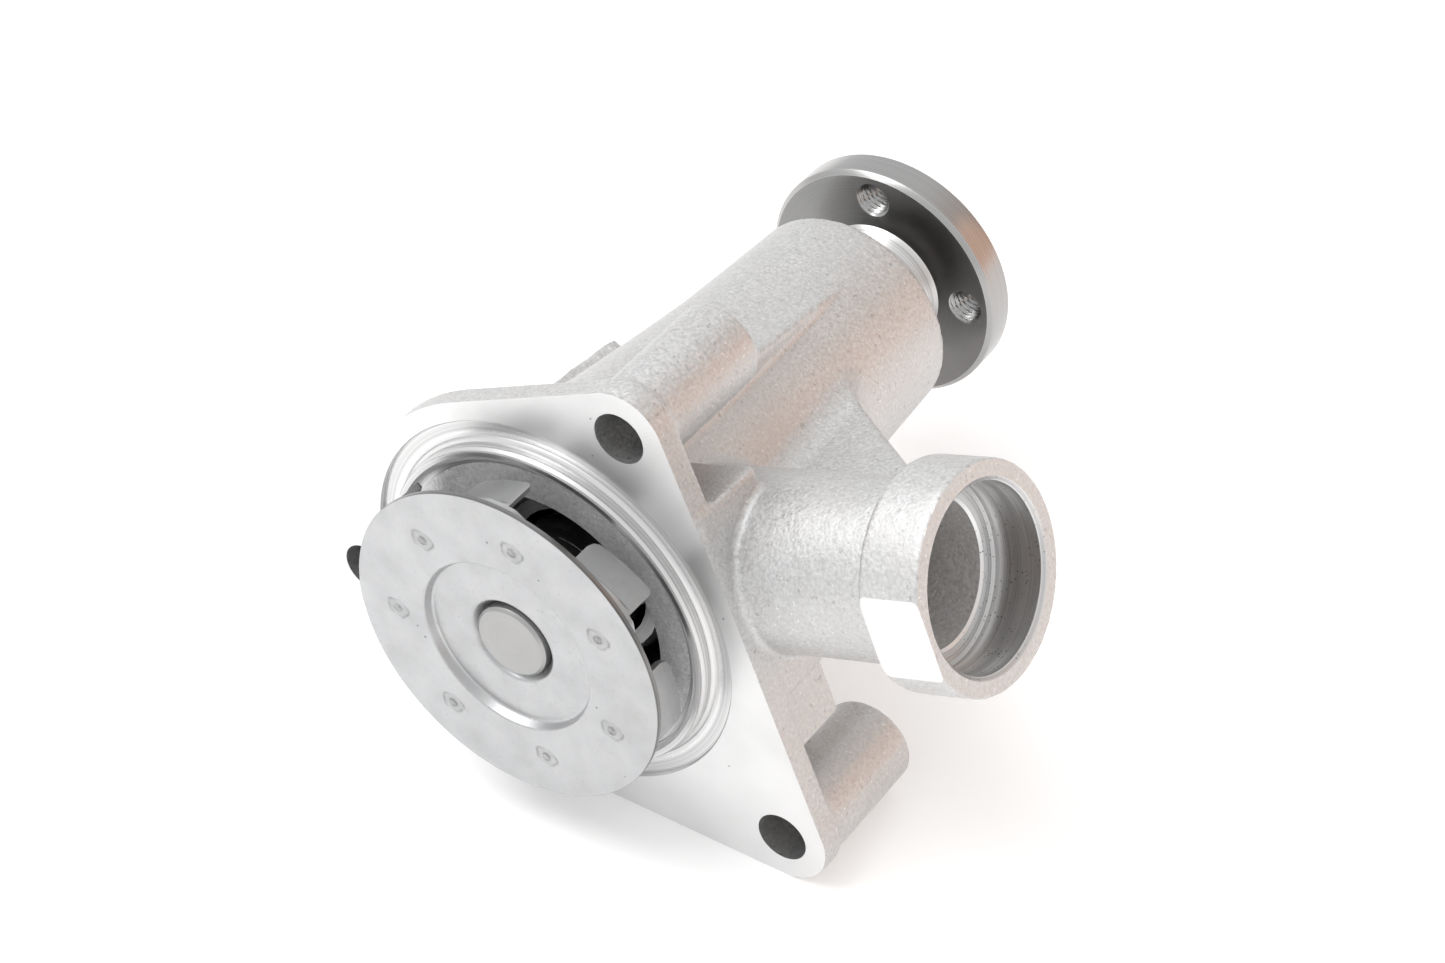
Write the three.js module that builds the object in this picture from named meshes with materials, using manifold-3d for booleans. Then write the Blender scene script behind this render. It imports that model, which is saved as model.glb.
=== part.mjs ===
// Engine water pump: a die-cast housing with a bolt flange, an angled inlet and a long nose, an
// integral shaft bearing, a spring-loaded face seal, a pressed steel impeller and a pulley hub.
// Millimetres. The shaft lies along Y: the impeller is at the -Y end, the pulley hub at the +Y end,
// and the flange's lower edge is level, facing -Z. The origin is the middle of the hub's outer face.
import * as THREE from "three";
import { mergeVertices } from "three/addons/utils/BufferGeometryUtils.js";
import Module from "manifold-3d";

const wasm = await Module();
wasm.setup();

// ---------------------------------------------------------------- driving dimensions
// Distances along the shaft are measured from the gasket face, positive towards the pulley.
const degrees = Math.PI / 180;
const brokenEdge = 0.8; // chamfer on turned edges
const slip = 0.05; // radial gap between two pieces fitted together
const running = 0.4; // gap between a turning piece and a still one
const large = 40; // sides on the large round surfaces
const fine = 28; // sides on the shaft and on all that fits round it

const flangeThickness = 5.5;
const registerCircle = 45.5; // radius of the flange round the cavity
const earRadius = 9.8;
const boltHoleRadius = 5.3;
const bossStart = 1; // inside the flange plate
const bossWebEnd = 24; // the webs that tie the bosses to the body rise to here
const webThickness = 5;
// Where the cone of the body passes, as [radius, distance along the shaft].
const bodySkin = [
  [43.5, 2], [43.5, 7], [39, 13], [34, 21], [30.8, 30], [29.2, 38], [27.2, 56], [25.4, 74],
  [24.4, 92],
];
const castCore = 20; // ribs and webs start this far from the shaft, inside the body
const bolts = {
  upper: { radius: 52.2, angle: 69.2 * degrees, bossRadius: 8.9, bossEnd: 33 },
  lower: { radius: 63, angle: -34.5 * degrees, bossRadius: 9.5, bossEnd: 32 },
  left: { radius: 48.2, angle: -164.5 * degrees, bossRadius: 8.9, bossEnd: 32 },
};

const recessRadius = 41.2; // shallow step turned into the flange face
const recessDepth = 1;
const spigotOuter = 36.6;
const spigotInner = 34;
const spigotHeight = 2.6; // the spigot stands this far out of the flange face

const eyeRadius = 26; // the round opening inside the spigot, which feeds the impeller
const eyeFace = -1;
const cavityEnd = 36;
const sealBossRadius = 19.5;
const sealBossFace = 11;
const sealBore = 16;
const sealBoreEnd = 26;
const shaftPassage = 11;
const bearingBore = 15;
const bearingBoreStart = 44;
const noseEnd = 106.1;
const noseEndRadius = 23.7;
const drainY = 55;
const drainRadius = 2.5;

const inletAngle = 20.2 * degrees; // above the level flange edge
const inletY = 20;
const inletRoot = 8; // the tube starts this far from the shaft axis, inside the body
const inletTubeRadius = 17.3;
const inletBore = 14.2;
const inletMouthBore = 17.7;
const inletMouthDepth = 11.5;
const collarRadius = 21.8;
const collarStart = 76.7;
const inletEnd = 89.9;
const edgeWall = 45.1; // from the shaft axis to the flange's straight edge on the inlet side
const edgeWallEnd = 19.3;
const gusset = { foot: [73, 34], top: [22, 74.5], thickness: 8 }; // its ridge's two ends
const edgeWallInset = 1.2; // the wall's lower stretch stands this far inside the flange's edge
const tailStart = [39, 30]; // its ridge starts here: distance from the shaft, and along it
const tailRidgeEnd = 24.5;
const finAngle = 154 * degrees; // a low fin that stands on the far side of the body
const finThickness = 3.4;
const finRidge = [[41, 10], [35.8, 20], [32.4, 30], [29.8, 59]];
const tailEnd = 88; // the upper boss's rib ends here on the nose
const tailAngle = 73.7 * degrees;

const shaftRadius = 7.96;
const shaftStart = -13.4;
const hubFace = 127.3;
const shaftChamfer = 0.6;

const bearingLength = 38.9;
const bearingEnd = 105;
const bearingStart = bearingEnd - bearingLength;
const raceRadius = 13.1;
const ballRadius = 3.02;
const ballCircle = 10.6;
const ballsInRow = 8;
const cagePlay = 0.3;
const cageInward = 1.3; // the cage's ring reaches this far inside and outside the ball circle
const cageOutward = 1.7;
const cageShort = 1.4; // and this far past the balls' middles, out to the end of the bearing
const cageLong = 4.6; // and in to its middle
const rowOffset = 9.5; // each row of balls from the middle of the bearing
const grooveGap = 0.27;

const discRadius = 35;
const discFace = -15;
const sheet = 1.2;
const dishRadius = 18.8;
const dishDepth = 2;
const collarOuter = 10.2;
const impellerCollarEnd = -1;
const vaneCount = 7;
const vaneTipAngle = 35.5 * degrees;
const vaneSweep = 25 * degrees;
const vaneInner = 30.7;
const vaneOuter = 34.4;
const lobeSweep = 8 * degrees; // the vane plate's lobes reach this far beyond each vane
const plateOuter = 31.4;
const vaneEnd = -5;

const hubFlangeRadius = 27.3;
const hubFlangeStart = 119.3;
const hubBossRadius = 11.8;
const hubBossStart = 107.6;
const hubTaperRadius = 14.4; // the boss widens to this where it meets the flange
const hubTaperStart = 113;
const threadRadius = 3.4; // M8 tapping size
const threadCircle = 21;
const threadCount = 4;
const threadAngle = 5.2 * degrees;

// ---------------------------------------------------------------- materials
function metal(color, roughness) {
  return new THREE.MeshStandardMaterial({ color, roughness, metalness: 1 });
}

function soft(color, roughness) {
  return new THREE.MeshStandardMaterial({ color, roughness, metalness: 0 });
}

const castAluminium = () => metal(0xc9c8c4, 0.6);
const zincPlatedSheet = () => metal(0xc4c8cb, 0.42);
const groundSteel = () => metal(0xa9abac, 0.25);
const turnedSteel = () => metal(0x9b9a97, 0.3);
const stainlessSteel = () => metal(0xbdbdb9, 0.3);
const blackRubber = () => soft(0x1d1d1e, 0.85);
const carbonGraphite = () => soft(0x2d2e30, 0.45);
const whiteCeramic = () => soft(0xe9e5da, 0.3);
const nylonCage = () => soft(0xb9ac8b, 0.6);

// ---------------------------------------------------------------- solids
// Merges the shared corners of a closed geometry and returns it as a manifold-3d solid.
function solid(geometry) {
  const bare = geometry.clone();
  bare.deleteAttribute("normal");
  bare.deleteAttribute("uv");
  const merged = mergeVertices(bare, 1e-4);
  const corners = merged.index.array;
  const triVerts = [];
  for (let i = 0; i < corners.length; i += 3) {
    const [a, b, c] = [corners[i], corners[i + 1], corners[i + 2]];
    if (a !== b && b !== c && c !== a) triVerts.push(a, b, c);
  }
  const mesh = new wasm.Mesh({
    numProp: 3,
    vertProperties: merged.attributes.position.array,
    triVerts: new Uint32Array(triVerts),
  });
  return new wasm.Manifold(mesh);
}

function joined(geometries) {
  return geometries.map(solid).reduce((sum, piece) => sum.add(piece));
}

function carved(body, cutters) {
  return cutters.map(solid).reduce((rest, cutter) => rest.subtract(cutter), body);
}

function geometryOf(body) {
  const mesh = body.getMesh();
  const geometry = new THREE.BufferGeometry();
  geometry.setAttribute("position", new THREE.BufferAttribute(mesh.vertProperties, 3));
  geometry.setIndex(new THREE.BufferAttribute(mesh.triVerts, 1));
  return geometry;
}

// A solid of revolution about the shaft. The outline lists [radius, y] once round, with y falling
// on its inner side and rising on its outer side; an outline that starts on the axis ends on it.
function turned(outline, segments) {
  const points = outline.map(([radius, y]) => new THREE.Vector2(radius, y));
  if (outline[0][0] > 0) points.push(points[0].clone());
  return new THREE.LatheGeometry(points, segments);
}

function ring(inner, outer, start, end, segments) {
  return turned([[outer, start], [outer, end], [inner, end], [inner, start]], segments);
}

function disc(radius, start, end, segments) {
  return turned([[0, start], [radius, start], [radius, end], [0, end]], segments);
}

// A round bar parallel to the shaft, at a polar position about it.
function bar(place, radius, start, end, segments) {
  const geometry = new THREE.CylinderGeometry(radius, radius, end - start, segments);
  const [x, z] = polar(place.radius, place.angle);
  return geometry.translate(x, (start + end) / 2, z);
}

function polar(radius, angle) {
  return [radius * Math.cos(angle), radius * Math.sin(angle)];
}

// A flat outline in X and Z, extruded along the shaft.
function plate(shape, start, end, curveSegments) {
  const settings = { depth: end - start, bevelEnabled: false, curveSegments };
  return new THREE.ExtrudeGeometry(shape, settings).rotateX(Math.PI / 2).translate(0, end, 0);
}

// Moves a piece drawn about Y onto the inlet's axis.
function alongInlet(geometry) {
  return geometry.rotateZ(-Math.PI / 2).rotateY(-inletAngle).translate(0, inletY, 0);
}

// A block in the inlet's directions: out along it, along the shaft, and across both.
function inletBlock(out, along, across) {
  const size = [out, along, across].map(([low, high]) => high - low);
  const middle = [out, along, across].map(([low, high]) => (low + high) / 2);
  return new THREE.BoxGeometry(...size)
    .translate(middle[0], middle[1], -middle[2])
    .rotateY(-inletAngle);
}

// The outline of a belt pulled tight round circles given anticlockwise: { x, z, r }.
function beltOutline(circles) {
  const normals = circles.map((circle, i) => {
    const next = circles[(i + 1) % circles.length];
    const run = Math.hypot(next.x - circle.x, next.z - circle.z);
    const heading = Math.atan2(next.z - circle.z, next.x - circle.x);
    return heading - Math.acos((circle.r - next.r) / run);
  });
  const shape = new THREE.Shape();
  circles.forEach((circle, i) => {
    const from = normals[(i + circles.length - 1) % circles.length];
    shape.absarc(circle.x, circle.z, circle.r, from, normals[i], false);
  });
  return shape;
}

// ---------------------------------------------------------------- the housing casting
function flangePlate() {
  const ear = ({ radius, angle }) => {
    const [x, z] = polar(radius, angle);
    return { x, z, r: earRadius };
  };
  const middle = { x: 0, z: 0, r: registerCircle };
  const belt = [ear(bolts.lower), ear(bolts.upper), middle, ear(bolts.left), middle];
  return plate(beltOutline(belt), 0, flangeThickness, 10);
}

function bodyAndNose() {
  return turned(
    [
      [0, bodySkin[0][1]], ...bodySkin, [noseEndRadius, noseEnd - brokenEdge],
      [noseEndRadius - brokenEdge, noseEnd], [0, noseEnd],
    ],
    large,
  );
}

// A long bolt boss, and the web that ties it to the body.
function boss(place) {
  return bar(place, place.bossRadius, bossStart, place.bossEnd, fine);
}

function bossTie({ radius, angle }) {
  const low = [[castCore, bossStart], [radius, bossStart]];
  const high = [[radius, bossWebEnd], [castCore, bossWebEnd]];
  return rib([...low, ...high], webThickness, angle);
}

// A straight rib standing on the body: a side view in (distance from the shaft, along the shaft).
function rib(sideView, thickness, angle) {
  const shape = new THREE.Shape(sideView.map(([out, along]) => new THREE.Vector2(out, along)));
  const settings = { depth: thickness, bevelEnabled: false };
  return new THREE.ExtrudeGeometry(shape, settings)
    .translate(0, 0, -thickness / 2)
    .rotateY(-angle);
}

// The low rib that runs on from the upper boss and dies away on the nose.
function bossTail() {
  const ridge = [tailStart, [tailRidgeEnd, tailEnd]];
  const core = [[castCore, tailEnd], [castCore, tailStart[1]]];
  return rib([...ridge, ...core], webThickness, tailAngle);
}

function farFin() {
  const core = [[castCore, finRidge.at(-1)[1]], [castCore, finRidge[0][1]]];
  return rib([...finRidge, ...core], finThickness, finAngle);
}

function inletTube() {
  return alongInlet(
    turned(
      [
        [0, inletRoot], [inletTubeRadius, inletRoot], [inletTubeRadius, collarStart - 1],
        [collarRadius - 1, collarStart], [collarRadius, collarStart + 1],
        [collarRadius, inletEnd - brokenEdge], [collarRadius - brokenEdge, inletEnd],
        [0, inletEnd],
      ],
      large,
    ),
  );
}

// The gusset between the nose and the inlet, a triangle in the plane of their two axes.
function inletGusset() {
  const { foot, top, thickness } = gusset;
  return rib([foot, top, [castCore, top[1]], [castCore, foot[1]]], thickness, inletAngle);
}

// The wall behind the flange's straight edge, which carries the inlet.
function edgeWalls() {
  return [
    inletBlock([25, edgeWall], [1, edgeWallEnd], [-22, 22]),
    inletBlock([33, edgeWall - edgeWallInset], [1, edgeWallEnd], [-34, -20]),
  ];
}

function cavityCutters() {
  return [
    turned(
      [
        [0, -20], [spigotInner, -20], [spigotInner, eyeFace], [eyeRadius, eyeFace],
        [eyeRadius, 5], [eyeRadius + 1.6, 18], [eyeRadius - 1, cavityEnd - 3],
        [eyeRadius - 4, cavityEnd], [0, cavityEnd],
      ],
      large,
    ),
  ];
}

function sealBoss() {
  return disc(sealBossRadius, sealBossFace, cavityEnd + 4, fine);
}

function boreCutters() {
  return [
    disc(sealBore, sealBossFace - 5, sealBoreEnd, fine),
    disc(shaftPassage, sealBoreEnd - 1, bearingBoreStart + 1, fine),
    disc(bearingBore, bearingBoreStart, noseEnd + 5, fine),
  ];
}

function drainCutter() {
  const length = 20;
  const hole = new THREE.CylinderGeometry(drainRadius, drainRadius, length, 16);
  return hole.rotateX(Math.PI / 2).translate(0, drainY, -bearingBore - length / 2 + 4);
}

function inletCutters() {
  return [
    alongInlet(disc(inletBore, 22, inletEnd + 5, fine)),
    alongInlet(disc(inletMouthBore, inletEnd - inletMouthDepth, inletEnd + 5, large)),
    alongInlet(turned([[0, inletEnd - 0.7], [inletMouthBore, inletEnd - 0.7],
      [inletMouthBore + 1.7, inletEnd + 1], [0, inletEnd + 1]], large)),
    inletBlock([60, 100], [-10, 0], [-30, 30]), // the collar is milled level with the flange face
  ];
}

function boltHole(place) {
  return bar(place, boltHoleRadius, -5, place.bossEnd + 5, 20);
}

function housing() {
  const places = Object.values(bolts);
  const outside = joined([
    flangePlate(),
    bodyAndNose(),
    inletTube(),
    inletGusset(),
    bossTail(),
    farFin(),
    ...places.map(boss),
    ...places.map(bossTie),
    ...edgeWalls(),
    ring(spigotOuter - 3.5, spigotOuter, -spigotHeight, 4, large),
    ring(eyeRadius - 1, spigotOuter - 1, eyeFace, 4, large),
  ]);
  const recess = ring(spigotOuter, recessRadius, -2, recessDepth, large);
  const hollow = carved(outside, [recess, ...cavityCutters(), ...inletCutters()]);
  const body = hollow.add(solid(sealBoss()));
  return geometryOf(carved(body, [...boreCutters(), drainCutter(), ...places.map(boltHole)]));
}

// ---------------------------------------------------------------- shaft and bearing
const rowY = [-1, 1].map((side) => (bearingStart + bearingEnd) / 2 + side * rowOffset);

function ballGrooves() {
  return rowY.map((y) => {
    const section = new THREE.Path().absarc(ballCircle, y, ballRadius + grooveGap, 0, 2 * Math.PI);
    return new THREE.LatheGeometry(section.getPoints(10), fine);
  });
}

function shaft() {
  const blank = turned(
    [
      [0, shaftStart], [shaftRadius - shaftChamfer, shaftStart],
      [shaftRadius, shaftStart + shaftChamfer], [shaftRadius, hubFace - shaftChamfer],
      [shaftRadius - shaftChamfer, hubFace], [0, hubFace],
    ],
    fine,
  );
  return geometryOf(carved(solid(blank), ballGrooves()));
}

function bearingOuterRing() {
  const outer = bearingBore - slip;
  const blank = ring(raceRadius, outer, bearingStart, bearingEnd, fine);
  return geometryOf(carved(solid(blank), ballGrooves()));
}

function ballPlaces(y) {
  return Array.from({ length: ballsInRow }, (_, i) => {
    const [x, z] = polar(ballCircle, (2 * Math.PI * i) / ballsInRow);
    return [x, y, z];
  });
}

function ball([x, y, z]) {
  return new THREE.SphereGeometry(ballRadius, 10, 6).translate(x, y, z);
}

// A snap cage: a ring on the inner side of a row, with a pocket for each ball.
function ballCage(y, side) {
  const [low, high] = side < 0 ? [y - cageShort, y + cageLong] : [y - cageLong, y + cageShort];
  const band = ring(ballCircle - cageInward, ballCircle + cageOutward, low, high, fine);
  const pockets = ballPlaces(y).map(([x, , z]) =>
    new THREE.SphereGeometry(ballRadius + cagePlay, 8, 6).translate(x, y, z),
  );
  return geometryOf(carved(solid(band), pockets));
}

function bearingSeal(start) {
  return ring(shaftRadius + running, raceRadius - slip, start, start + 1.6, fine);
}

// ---------------------------------------------------------------- face seal
const sealFace = 4.5; // where the carbon ring meets the ceramic ring
const seatThickness = 4;
const seatRadius = 13.1;
const bootWall = 1.2;
const carbonNose = 11.8;
const carbonRadius = 13.4;
const carbonInner = 9;
const coilRadius = 12.2;
const wireRadius = 0.55;
const cupSheet = 0.8;
const cupInner = 12;

function sealSeatBoot() {
  const start = impellerCollarEnd + 0.2;
  const inner = seatRadius + 0.1;
  const outer = inner + bootWall;
  return turned(
    [
      [outer, start], [outer, sealFace - 1.2], [inner, sealFace - 1.2], [inner, start + 1],
      [shaftRadius + slip, start + 1], [shaftRadius + slip, start],
    ],
    fine,
  );
}

function sealSeatRing() {
  return ring(shaftRadius + 0.15, seatRadius, sealFace - seatThickness + 0.6, sealFace, fine);
}

function sealCarbonRing() {
  return turned(
    [
      [carbonNose, sealFace + 0.1], [carbonNose, sealFace + 2], [carbonRadius, sealFace + 2],
      [carbonRadius, sealFace + 5], [carbonInner, sealFace + 5], [carbonInner, sealFace + 0.1],
    ],
    fine,
  );
}

function sealBellows() {
  const start = sealFace + 5.1;
  const waist = 10.6;
  const lip = 14.9;
  return turned(
    [
      [carbonRadius, start], [carbonRadius, start + 1.2], [waist, start + 1.8],
      [waist, start + 8.4], [lip, start + 12], [lip, start + 13], [waist - 0.7, start + 13],
      [carbonInner + 0.2, start + 4], [carbonInner + 0.2, start],
    ],
    fine,
  );
}

function sealSpring() {
  const turns = 3;
  const start = sealFace + 7.6;
  const length = 4.6;
  class Coil extends THREE.Curve {
    getPoint(t, target = new THREE.Vector3()) {
      const [x, z] = polar(coilRadius, 2 * Math.PI * turns * t);
      return target.set(x, start + length * t, z);
    }
  }
  const wire = new THREE.Shape().absarc(0, 0, wireRadius, 0, 2 * Math.PI);
  const settings = { steps: turns * 12, extrudePath: new Coil(), curveSegments: 3 };
  return new THREE.ExtrudeGeometry(wire, settings);
}

function sealCup() {
  const outer = sealBore - slip;
  const rim = sealBossFace - 0.3;
  const end = sealBoreEnd - 1;
  return turned(
    [
      [outer + 2, rim - cupSheet], [outer + 2, rim], [outer, rim], [outer, end],
      [cupInner, end], [cupInner, end - cupSheet], [outer - cupSheet, end - cupSheet],
      [outer - cupSheet, rim - cupSheet],
    ],
    fine,
  );
}

function slinger() {
  const start = 46;
  return turned(
    [
      [9.6, start], [10, start + 2.6], [13.4, start + 3], [13.4, start + 4],
      [shaftRadius + slip, start + 4], [shaftRadius + slip, start],
    ],
    fine,
  );
}

// ---------------------------------------------------------------- impeller and hub
function impellerDisc() {
  const dish = discFace + dishDepth;
  return turned(
    [
      [shaftRadius + slip + 1.1, dish], [dishRadius - 0.8, dish], [dishRadius, dish - 0.5],
      [dishRadius + 0.4, discFace], [discRadius, discFace], [discRadius, discFace + sheet],
      [dishRadius + 1.4, discFace + sheet], [dishRadius + 0.6, dish + sheet],
      [collarOuter, dish + sheet], [collarOuter, impellerCollarEnd],
      [shaftRadius + slip, impellerCollarEnd], [shaftRadius + slip, dish + 1.2],
    ],
    large,
  );
}

const vanePlateStart = discFace + sheet + 0.1;

function flatShape(corners) {
  return new THREE.Shape(corners.map(([x, z]) => new THREE.Vector2(x, z)));
}

// A backward-curved vane follows a spiral in from the rim. This is its line, moved inwards.
function vaneLine(tip, offset) {
  const steps = 6;
  return Array.from({ length: steps + 1 }, (_, i) => {
    const t = i / steps;
    const radius = vaneOuter * Math.pow(vaneInner / vaneOuter, t) - offset;
    return polar(radius, tip + vaneSweep * t);
  });
}

function vane(tip) {
  const outline = [...vaneLine(tip, 0), ...vaneLine(tip, sheet).reverse()];
  return plate(flatShape(outline), vanePlateStart + 0.2, vaneEnd, 1);
}

// The flat lobe that the vane is bent up from.
function lobe(tip) {
  const root = plateOuter - 4;
  const inner = [polar(root, tip + vaneSweep), polar(root, tip - lobeSweep)];
  const outer = [polar(plateOuter, tip - lobeSweep), polar(vaneOuter, tip - lobeSweep / 4)];
  const outline = [...vaneLine(tip, 0), ...inner, ...outer];
  return plate(flatShape(outline), vanePlateStart, vanePlateStart + sheet, 1);
}

function vanePlate() {
  const base = ring(dishRadius + 2.2, plateOuter, vanePlateStart, vanePlateStart + sheet, large);
  const tips = Array.from({ length: vaneCount }, (_, i) =>
    vaneTipAngle + (2 * Math.PI * i) / vaneCount,
  );
  return geometryOf(joined([base, ...tips.map(lobe), ...tips.map(vane)]));
}

function pulleyHub() {
  const bore = shaftRadius + slip;
  const blank = turned(
    [
      [bore, hubBossStart], [hubBossRadius - brokenEdge, hubBossStart],
      [hubBossRadius, hubBossStart + brokenEdge], [hubBossRadius, hubTaperStart],
      [hubTaperRadius, hubFlangeStart],
      [hubFlangeRadius - 1, hubFlangeStart], [hubFlangeRadius, hubFlangeStart + 1],
      [hubFlangeRadius, hubFace - brokenEdge], [hubFlangeRadius - brokenEdge, hubFace], [bore, hubFace],
    ],
    large,
  );
  const threads = Array.from({ length: threadCount }, (_, i) => {
    const angle = threadAngle + (2 * Math.PI * i) / threadCount;
    return bar({ radius: threadCircle, angle }, threadRadius, hubFlangeStart - 2, hubFace + 2, 20);
  });
  return geometryOf(carved(solid(blank), threads));
}

// ---------------------------------------------------------------- the assembly
const pump = new THREE.Group();
const assembly = new THREE.Group();
assembly.position.y = -hubFace;
pump.add(assembly);

function add(name, geometry, material) {
  const mesh = new THREE.Mesh(geometry, material);
  mesh.name = name;
  assembly.add(mesh);
}

add("housing", housing(), castAluminium());
add("shaft", shaft(), groundSteel());
add("bearing_outer_ring", bearingOuterRing(), groundSteel());
["front", "rear"].forEach((row, i) => {
  const side = i === 0 ? -1 : 1;
  add("ball_cage_" + row, ballCage(rowY[i], side), nylonCage());
  ballPlaces(rowY[i]).forEach((place, n) => {
    add("ball_" + row + "_" + (n + 1), ball(place), groundSteel());
  });
});
add("bearing_seal_front", bearingSeal(bearingStart + 0.6), blackRubber());
add("bearing_seal_rear", bearingSeal(bearingEnd - 2.2), blackRubber());
add("slinger", slinger(), blackRubber());
add("seal_cup", sealCup(), stainlessSteel());
add("seal_bellows", sealBellows(), blackRubber());
add("seal_spring", sealSpring(), stainlessSteel());
add("seal_carbon_ring", sealCarbonRing(), carbonGraphite());
add("seal_seat_ring", sealSeatRing(), whiteCeramic());
add("seal_seat_boot", sealSeatBoot(), blackRubber());
add("impeller_disc", impellerDisc(), zincPlatedSheet());
add("impeller_vane_plate", vanePlate(), zincPlatedSheet());
add("pulley_hub", pulleyHub(), turnedSteel());

export default pump;
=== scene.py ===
"""The looks of the engine water pump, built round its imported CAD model.

Pieces are drawn in millimetres with y measured from the gasket face, positive towards the
pulley, as the pump's drawing is. place() moves them into the row frame, in metres.
"""

import math

import bmesh
import bpy
import numpy as np
import openvdb
from mathutils import Matrix, Vector


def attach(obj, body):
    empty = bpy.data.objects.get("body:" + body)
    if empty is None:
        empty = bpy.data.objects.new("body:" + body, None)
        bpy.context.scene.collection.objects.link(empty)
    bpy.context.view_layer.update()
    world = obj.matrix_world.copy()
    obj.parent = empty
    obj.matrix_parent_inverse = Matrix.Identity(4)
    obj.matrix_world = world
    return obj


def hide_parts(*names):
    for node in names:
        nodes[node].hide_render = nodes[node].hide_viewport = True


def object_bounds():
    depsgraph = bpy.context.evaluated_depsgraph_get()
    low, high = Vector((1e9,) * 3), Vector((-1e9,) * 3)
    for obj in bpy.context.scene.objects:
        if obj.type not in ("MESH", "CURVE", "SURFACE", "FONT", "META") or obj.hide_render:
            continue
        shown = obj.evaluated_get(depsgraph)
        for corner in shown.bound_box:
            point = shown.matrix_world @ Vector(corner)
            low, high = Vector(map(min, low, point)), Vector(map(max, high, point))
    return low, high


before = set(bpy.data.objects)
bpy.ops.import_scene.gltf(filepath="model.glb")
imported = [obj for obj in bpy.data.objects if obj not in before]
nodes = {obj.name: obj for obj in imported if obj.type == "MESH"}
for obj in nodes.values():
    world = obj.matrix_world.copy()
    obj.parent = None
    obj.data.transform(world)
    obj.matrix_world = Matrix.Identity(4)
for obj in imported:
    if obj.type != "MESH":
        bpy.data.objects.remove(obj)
cad_low, cad_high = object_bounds()

# ---------------------------------------------------------------- driving dimensions, millimetres
MM = 0.001
CREASE = math.radians(30)  # edges sharper than this are shaded as edges
HUB_FACE = 127.3  # from the gasket face to the row frame's origin
NOSE_END = 106.1
NOSE_RADIUS = 23.7

FLANGE_THICKNESS = 5.5
REGISTER_CIRCLE = 45.5
EAR_RADIUS = 9.8
BODY_CORE = 20  # webs and ribs start this far from the shaft, inside the body
BOLT_HOLE_RADIUS = 5.3
# distance from the shaft, angle above +X, radius of the boss, end of the boss, end of its web
BOLTS = {
    "upper": (52.2, math.radians(69.2), 8.9, 33, 28),
    "lower": (63, math.radians(-34.5), 9.5, 32, 19),
    "left": (48.2, math.radians(-164.5), 8.9, 32, 28),
}
RECESS_RADIUS = 41.2
RECESS_DEPTH = 1
SPIGOT_OUTER = 36.6
SPIGOT_INNER = 34
SPIGOT_HEIGHT = 2.6
EYE_RADIUS = 26
EYE_FACE = -1
CAVITY_END = 36
SEAL_BOSS_RADIUS = 19.5
SEAL_BOSS_FACE = 11
SEAL_BORE = 16
SEAL_BORE_END = 26
SHAFT_PASSAGE = 11
BEARING_BORE = 15
BEARING_BORE_START = 44
DRAIN_Y = 55
DRAIN_RADIUS = 2.5

INLET_ANGLE = math.radians(20.2)
INLET_Y = 20
TUBE_RADIUS = 17.3
INLET_BORE = 14.2
MOUTH_BORE = 17.7
MOUTH_DEPTH = 11.5
COLLAR_RADIUS = 21.8
COLLAR_START = 76.7
INLET_END = 89.9
EDGE_WALL = 45.1
EDGE_WALL_END = 19.3
FIN_END = 59
FIN_ANGLE = math.radians(154)
FIN_THICKNESS = 3.4
FIN_STATIONS = [8, 10, 20, 30, FIN_END]
FIN_RIDGE = [42, 41, 35.8, 32.4, 29.8]  # distance from the shaft at each station
TAIL_END = 88
TAIL_ANGLE = math.radians(68.6)
TAIL_START = (37.3, 30)  # its ridge's two ends: distance from the shaft, and along it
TAIL_FINISH = (24.3, TAIL_END)
WEB_THICKNESS = 5.2
GUSSET_FOOT = (73, 34)  # the gusset's ridge, in the same way
GUSSET_TOP = (22, 74.5)
GUSSET_THICKNESS = 8

SHAFT_RADIUS = 7.96
SHAFT_START = -13.4
SHEET = 1.2
DISC_RADIUS = 35
DISC_FACE = -15
DISH_RADIUS = 18.8
DISH_DEPTH = 2
COLLAR_OUTER = 10.2
IMPELLER_COLLAR_END = -1
VANES = 7
VANE_TIP = math.radians(35.5)
VANE_SWEEP = math.radians(25)
VANE_INNER = 30.7
VANE_OUTER = 34.4
PLATE_OUTER = 31.4
WELD_CIRCLE = 25.9
WELD_ANGLE = math.radians(30.5)
VANE_END = -5

HUB_RADIUS = 27.3
HUB_START = 119.3
HUB_BOSS_RADIUS = 11.8
HUB_BOSS_START = 107.6
HUB_TAPER_RADIUS = 14.4  # the boss widens to this where it meets the flange
HUB_TAPER_START = 113
THREAD_HOLES = 4
THREAD_CIRCLE = 21
THREAD_MINOR = 3.35
THREAD_MAJOR = 3.95
THREAD_PITCH = 1.25
THREAD_ANGLE = math.radians(5.2)

CASTING_STEP = 0.7  # spacing of the grid that the casting's skin is taken from


# ---------------------------------------------------------------- meshes
def mesh_object(name, vertices, faces, materials=()):
    mesh = bpy.data.meshes.new(name)
    mesh.from_pydata([tuple(v) for v in vertices], [], [tuple(f) for f in faces])
    mesh.validate()
    for material in materials:
        mesh.materials.append(material)
    made = bpy.data.objects.new(name, mesh)
    bpy.context.scene.collection.objects.link(made)
    return made


def applied(piece):
    """Turns the piece's modifiers into its mesh."""
    depsgraph = bpy.context.evaluated_depsgraph_get()
    mesh = bpy.data.meshes.new_from_object(piece.evaluated_get(depsgraph))
    piece.modifiers.clear()
    piece.data = mesh
    return piece


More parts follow.
